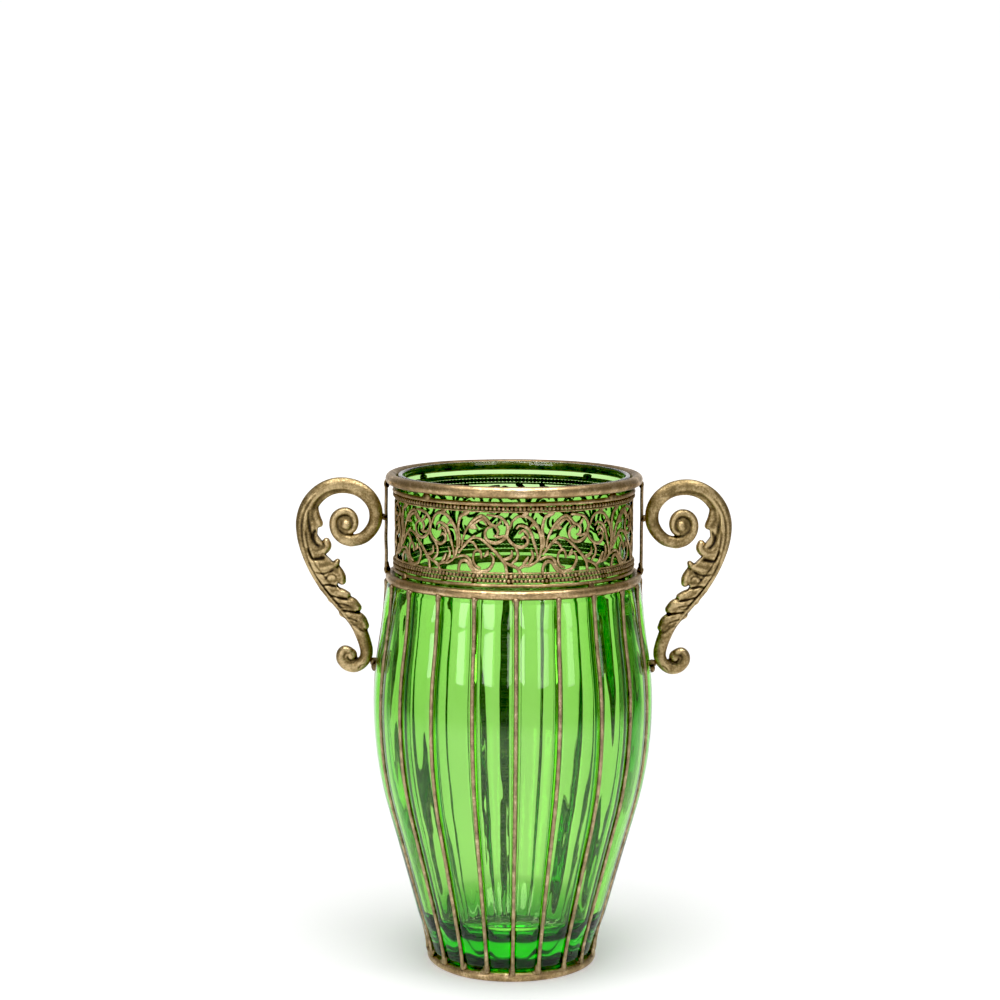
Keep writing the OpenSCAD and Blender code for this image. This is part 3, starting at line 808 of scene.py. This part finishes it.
# Carved lines: points, half width and depth in millimetres.
GROOVES = [
    ([(136.5, 347.0), (144.6, 340.8), (149.8, 333.0), (152.6, 324.1), (153.0, 314.7), (151.2, 304.2),
      (147.9, 293.7), (142.9, 283.7), (136.7, 274.8), (129.7, 265.9), (123.4, 259.1), (118.6, 252.8)],
     1.0, 0.75),
    ([(148.8, 322.0), (149.6, 314.7), (148.5, 306.3), (146.0, 297.9), (141.6, 290.0), (136.3, 283.2),
      (130.5, 275.5)], 0.8, 0.6),
    ([(150.0, 296.5), (144.8, 286.0), (138.4, 276.8), (131.0, 268.0), (124.4, 260.8)], 0.7, 0.55),
    ([(149.6, 305.5), (146.9, 299.0), (144.1, 296.4), (138.9, 296.9), (135.3, 298.4)], 1.7, 1.9),
    ([(144.6, 287.0), (137.9, 285.6), (132.8, 286.9), (129.3, 289.0)], 0.9, 0.9),
    ([(138.6, 277.0), (134.3, 277.5), (130.2, 276.7), (123.6, 275.8)], 1.0, 1.4),
    ([(135.9, 281.1), (134.3, 284.2), (130.9, 285.3), (128.4, 283.7), (128.8, 281.8)], 0.7, 0.7),
    ([(132.8, 270.1), (127.7, 268.4), (122.5, 267.3), (118.6, 267.0)], 0.9, 1.2),
    ([(124.6, 258.8), (119.5, 258.2), (113.3, 257.3), (109.6, 257.1)], 1.0, 1.3),
    ([(119.5, 248.9), (114.3, 247.8), (110.2, 244.6), (106.6, 243.0)], 0.9, 0.7),
    ([(130.2, 264.8), (127.2, 263.9), (122.6, 263.2), (117.6, 262.2)], 0.55, 0.55),
    ([(128.5, 262.3), (124.6, 261.2), (120.0, 260.8)], 0.5, 0.5),
    ([(122.0, 253.6), (117.4, 252.8), (112.0, 250.6)], 0.55, 0.55),
    ([(119.4, 251.0), (115.4, 249.8), (111.5, 247.8)], 0.5, 0.5),
    ([(113.3, 344.0), (119.4, 345.4), (125.6, 345.7), (131.8, 344.8), (137.4, 342.0), (141.8, 337.0),
      (144.0, 331.0), (144.4, 326.0)], 1.9, 1.2),
    ([(147.0, 334.0), (148.0, 328.0), (147.4, 320.0), (146.0, 314.0), (145.2, 308.5)], 1.2, 0.9),
    ([(141.6, 318.6), (144.4, 315.0), (144.6, 310.5), (142.0, 306.4), (138.6, 305.6)], 1.4, 1.3),
    ([(112.6, 227.2), (114.2, 223.4), (117.6, 222.0), (120.0, 223.8), (120.0, 226.4)], 0.9, 1.0),
    ([(112.4, 215.9), (110.4, 218.4), (107.4, 219.6)], 0.5, 0.5),
]


# Front-to-back thickness of each stroke in millimetres, evenly spaced from its start to its end.
MAIN_DEPTHS = [7.6, 8.6, 9.4, 9.8, 9.8, 9.0, 8.6, 8.4, 8.4, 8.6, 8.0]
COIL_DEPTHS = [7.6, 7.4, 7.2, 7.6, 7.6, 7.0]
PETAL_DEPTHS = [6.0, 8.4, 9.2, 8.0]
BROAD_PETAL, BROAD_PETAL_DEPTHS = 3, [6.4, 8.8, 9.6, 8.8]
WEB_HALF_DEPTH = 3.8
# Rounded lumps: the eye of the top scroll, its rim, and the knob in the foot scroll. Each is its
# centre, its radii outwards, up and front to back, its seed and its roughness.
PLANE_AXES = np.array([(1, 0, 0), (0, 0, 1), (0, 1, 0)])
LUMPS = [
    ((121.0, 0, 321.4), (4.7, 4.7, 5.0), 31, 0.04),
    ((121.0, 0, 321.4), (8.5, 8.5, 3.4), 32, 0.0),
    ((119.2, 0, 224.9), (6.4, 6.4, 3.9), 33, 0.03),
]
VOXEL = 0.42 * MM
DEEPEST_GROOVE = 2.4
# How far a groove cuts in where the surface faces the front or the back, as a share of its depth.
GROOVE_SHARE = 0.8


def cast_stroke(pile, points, depths):
    """A cast stroke in the handle's plane."""
    line = smooth_curve(points, 0.8) * MM
    share = np.linspace(0, 1, len(line))
    thick = np.interp(share, np.linspace(0, 1, len(depths)), depths) * MM
    path = np.stack([line[:, 0], np.zeros(len(line)), line[:, 1]], -1)
    verts, faces, _ = tube(path, thick, line[:, 2], (0, 1, 0), 20)
    pile.add(verts, faces)


def add_web(pile, corners, half):
    """A flat plate in the handle's plane."""
    flat = np.array(corners) * MM
    n = len(flat)
    sheets = [np.stack([flat[:, 0], np.full(n, y * MM), flat[:, 1]], -1) for y in (-half, half)]
    faces = [tuple(range(n)), tuple(range(2 * n - 1, n - 1, -1))]
    faces += [(k, n + k, n + (k + 1) % n, (k + 1) % n) for k in range(n)]
    pile.add(np.vstack(sheets), faces)


def distance_to(points, where):
    """Distance in the handle's plane from each place to a smooth line, and how far along it is."""
    line = smooth_curve(points, 0.6)
    best = np.full(len(where), 1e9)
    along = np.zeros(len(where))
    for k, (a, b) in enumerate(zip(line, line[1:])):
        ab = b - a
        t = np.clip(((where - a) @ ab) / (ab @ ab), 0, 1)
        d = np.linalg.norm(where - a - t[:, None] * ab, axis=1)
        closer = d < best
        best[closer] = d[closer]
        along[closer] = (k + t[closer]) / (len(line) - 1)
    return best, along


def remeshed(rough):
    """An object's vertices, faces and edges after its overlapping shapes are fused into one skin."""
    weld(rough, 1e-7)
    bpy.context.view_layer.update()
    remesh = rough.modifiers.new("remesh", "REMESH")
    remesh.mode = "VOXEL"
    remesh.voxel_size = VOXEL
    graph = bpy.context.evaluated_depsgraph_get()
    mesh = bpy.data.meshes.new_from_object(rough.evaluated_get(graph))
    verts = np.empty(len(mesh.vertices) * 3)
    mesh.vertices.foreach_get("co", verts)
    faces = [tuple(p.vertices) for p in mesh.polygons]
    edges = np.empty(len(mesh.edges) * 2, np.int64)
    mesh.edges.foreach_get("vertices", edges)
    bpy.data.objects.remove(rough)
    return verts.reshape(-1, 3), faces, edges.reshape(-1, 2)


def groove_depths(where):
    """How deep the carved lines are at each place in the handle's plane, shallower at their ends."""
    carved = np.zeros(len(where))
    for points, half, depth in GROOVES:
        distance, along = distance_to(points, where)
        ends = np.clip(np.minimum(along, 1 - along) * 6, 0.15, 1)
        carved += depth * ends * np.exp(-((distance / half) ** 2))
    return np.minimum(carved, DEEPEST_GROOVE)


def handle_mesh():
    """One handle's casting as arrays of vertices, faces and hollows, on the +X side."""
    pile = Pile()
    cast_stroke(pile, HANDLE_MAIN, MAIN_DEPTHS)
    cast_stroke(pile, HANDLE_COIL, COIL_DEPTHS)
    for number, petal in enumerate(PETALS):
        cast_stroke(pile, petal, BROAD_PETAL_DEPTHS if number == BROAD_PETAL else PETAL_DEPTHS)
    add_web(pile, LEAF_WEB, WEB_HALF_DEPTH)
    for centre, radii, seed, rough in LUMPS:
        lump(pile, np.array(centre) * MM, np.array(radii) * MM, PLANE_AXES, seed, rough)
    verts, faces, edges = remeshed(pile.build("handle_core", CAST_BRASS))
    verts = relax(verts, edges, 6)
    normals = vertex_normals(verts, faces)
    facing = np.clip(np.abs(normals[:, 1]) * 1.5, 0, 1)
    depths = groove_depths(verts[:, [0, 2]] / MM)
    verts = verts - normals * (depths * facing * GROOVE_SHARE * MM)[:, None]
    verts = relax(verts, edges, 4)
    return verts, faces, cavities(verts, edges, vertex_normals(verts, faces))


def neighbours_mean(values, edges):
    """Each vertex's mean value over the vertices it shares an edge with."""
    total = np.zeros_like(values)
    count = np.zeros(len(values))
    for a, b in ((0, 1), (1, 0)):
        np.add.at(total, edges[:, a], values[edges[:, b]])
        np.add.at(count, edges[:, a], 1)
    count = np.maximum(count, 1)
    return total / (count[:, None] if values.ndim == 2 else count)


def relax(verts, edges, rounds):
    """Smooths a surface by moving each vertex half way to its neighbours' middle, some rounds long."""
    for _ in range(rounds):
        verts = verts + 0.5 * (neighbours_mean(verts, edges) - verts)
    return verts


def vertex_normals(verts, faces):
    """Unit normals at the vertices, weighted by the size of the faces round them."""
    quads = np.array([f if len(f) == 4 else (*f, f[-1]) for f in faces])
    a, b, c, d = (verts[quads[:, k]] for k in range(4))
    normal = np.cross(c - a, d - b)
    total = np.zeros_like(verts)
    for k in range(4):
        np.add.at(total, quads[:, k], normal)
    return total / np.maximum(np.linalg.norm(total, axis=1), 1e-12)[:, None]


# These values darken the cast brass: painted shade in its hollows, with the dark patina that such hollows
# keep.
def cavities(verts, edges, normals):
    """1 in hollows, 0 on swellings: how far the surface around each place stands above it."""
    score = np.zeros(len(verts))
    smooth = verts
    for rounds, reach in ((6, 0.10), (24, 0.35)):
        smooth = relax(smooth, edges, rounds)
        score += ((smooth - verts) * normals).sum(1) / (reach * MM)
    score = neighbours_mean(score, edges)
    return np.clip(0.5 * score, -0.5, 1)


def handles():
    """Both handles from one casting, the left one turned half way round the vase's axis."""
    verts, faces, hollow = handle_mesh()
    for side, name in ((1, "right"), (-1, "left")):
        title = f"cast_handle_{name}"
        placed = verts * [side, side, 1]
        adopt(make_object(title, placed, faces, CAST_BRASS, hollow, shade_inward_sides=False), f"handle_{name}")


# ---------------------------------------------------------------- camera, light, floor

CAMERA_DISTANCE = 1.69707
CAMERA_HEIGHT = 0.55329
CAMERA_PITCH = 0.1252
CAMERA_ROLL = 0.0059
CAMERA_LENS = 85.38
CAMERA_SHIFT = -0.014
BLACK_LEVEL = 0.016
FLOOR_HALF_SIZE = 12


def softbox(name, place, size, power):
    """A rectangular soft light aimed at the middle of the vase."""
    light = bpy.data.lights.new(name, "AREA")
    light.shape = "RECTANGLE"
    light.size, light.size_y = size
    light.energy = power
    piece = bpy.data.objects.new(name, light)
    bpy.context.scene.collection.objects.link(piece)
    piece.location = place
    aim = Vector((0, 0, 0.2)) - Vector(place)
    piece.rotation_euler = aim.to_track_quat("-Z", "Y").to_euler()


def picture():
    """The camera in front of the vase and a little above it, and the picture's tones."""
    scene = bpy.context.scene
    scene.view_settings.view_transform = "Standard"
    scene.view_settings.use_curve_mapping = True
    scene.view_settings.curve_mapping.black_level = (BLACK_LEVEL,) * 3
    scene.view_settings.curve_mapping.update()
    camera = bpy.data.objects.new("camera", bpy.data.cameras.new("camera"))
    scene.collection.objects.link(camera)
    camera.data.sensor_width = 36
    camera.data.lens = CAMERA_LENS
    camera.data.shift_x = CAMERA_SHIFT
    camera.data.clip_end = 50
    camera.matrix_world = (
        Matrix.Translation((0, -CAMERA_DISTANCE, CAMERA_HEIGHT))
        @ Matrix.Rotation(math.pi / 2 - CAMERA_PITCH, 4, "X")
        @ Matrix.Rotation(CAMERA_ROLL, 4, "Z")
    )
    scene.camera = camera


def studio():
    """A white backdrop behind the vase, a dim studio at the sides and in front, and three lights."""
    world = bpy.data.worlds.new("studio")
    bpy.context.scene.world = world
    world.use_nodes = True
    nodes, links = world.node_tree.nodes, world.node_tree.links
    split = nodes.new("ShaderNodeSeparateXYZ")
    links.new(nodes.new("ShaderNodeTexCoord").outputs["Generated"], split.inputs[0])
    # 0 straight ahead of the vase, 1 straight behind it
    behind = math_node(nodes, links, "MULTIPLY_ADD", split.outputs["Y"], 0.5, 0.5)
    backdrop = [(0.0, 0.3), (0.2, 0.22), (0.88, 0.22), (0.955, 0.9), (0.97, 1.0)]
    background = nodes["Background"]
    links.new(ramp(nodes, links, behind, backdrop), background.inputs["Color"])
    background.inputs["Strength"].default_value = 1.02
    softbox("key", (-1.0, -1.8, 0.62), (0.95, 0.7), 10)
    softbox("fill", (1.05, -1.75, 0.58), (0.85, 0.65), 5)
    softbox("overhead", (0.0, -0.25, 1.6), (1.2, 0.9), 31)


def pale_floor():
    """White under and behind the vase, with a little glow of its own, so that it runs into the white
    backdrop; grey further off in front and at the sides."""
    material, nodes, links, shader, _ = node_material("pale_floor")
    shader.inputs["Roughness"].default_value = 0.85
    place = nodes.new("ShaderNodeTexCoord").outputs["Object"]
    split = nodes.new("ShaderNodeSeparateXYZ")
    links.new(place, split.inputs[0])
    length = nodes.new("ShaderNodeVectorMath")
    length.operation = "LENGTH"
    links.new(place, length.inputs[0])
    reach = length.outputs["Value"]
    behind = math_node(nodes, links, "DIVIDE", split.outputs["Y"], reach)
    wedge = ramp(nodes, links, behind, [(0.55, 0.0), (0.78, 1.0)])
    close = ramp(nodes, links, math_node(nodes, links, "MULTIPLY", reach, 0.5), [(0.38, 1.0), (0.6, 0.0)])
    white = math_node(nodes, links, "MAXIMUM", wedge, close)
    links.new(ramp(nodes, links, white, [(0.0, 0.25), (1.0, 0.7)]), shader.inputs["Base Color"])
    # the glow makes up for the light that falls off away from the vase, and lights the glass foot
    glow = ramp(nodes, links, math_node(nodes, links, "MULTIPLY", reach, 0.25), [
        (0.0132, 1.15), (0.0146, 0.26), (0.125, 0.30), (0.25, 0.52), (0.375, 0.75), (0.5, 0.86),
        (0.75, 0.96), (1.0, 1.0),
    ])
    shader.inputs["Emission Color"].default_value = (1, 1, 1, 1)
    share = ramp(nodes, links, white, [(0.0, 0.2), (1.0, 1.0)])
    links.new(math_node(nodes, links, "MULTIPLY", glow, share), shader.inputs["Emission Strength"])
    return material


def floor():
    """A square floor around the vase."""
    half = FLOOR_HALF_SIZE
    corners = [(-half, -half, 0), (half, -half, 0), (half, half, 0), (-half, half, 0)]
    mesh = bpy.data.meshes.new("floor")
    mesh.from_pydata(corners, [], [(0, 1, 2, 3)])
    piece = bpy.data.objects.new("floor", mesh)
    bpy.context.scene.collection.objects.link(piece)
    piece.data.materials.append(pale_floor())


picture()
studio()
floor()
glass_vessel()
ribs()
hoop("mouth_ring_rod", "mouth_ring", RING_BRASS, 1)
hoop("shoulder_ring_rod", "shoulder_ring", RING_BRASS, 2)
hoop("upper_collar_hoop", "upper_collar_wire", RING_BRASS, 3, lumps=0.04)
hoop("lower_collar_hoop", "lower_collar_wire", RING_BRASS, 4, lumps=0.04)
hoop("base_ring_rod", "base_ring", RING_BRASS, 5)
bead_row("upper_beads", "upper_bead_wire", 0.0)
bead_row("lower_beads_1", "lower_bead_wire_1", 0.4)
bead_row("lower_beads_2", "lower_bead_wire_2", 1.9)
filigree()
struts()
handles()
rib_solder()
collar_solder()
strut_and_handle_solder()
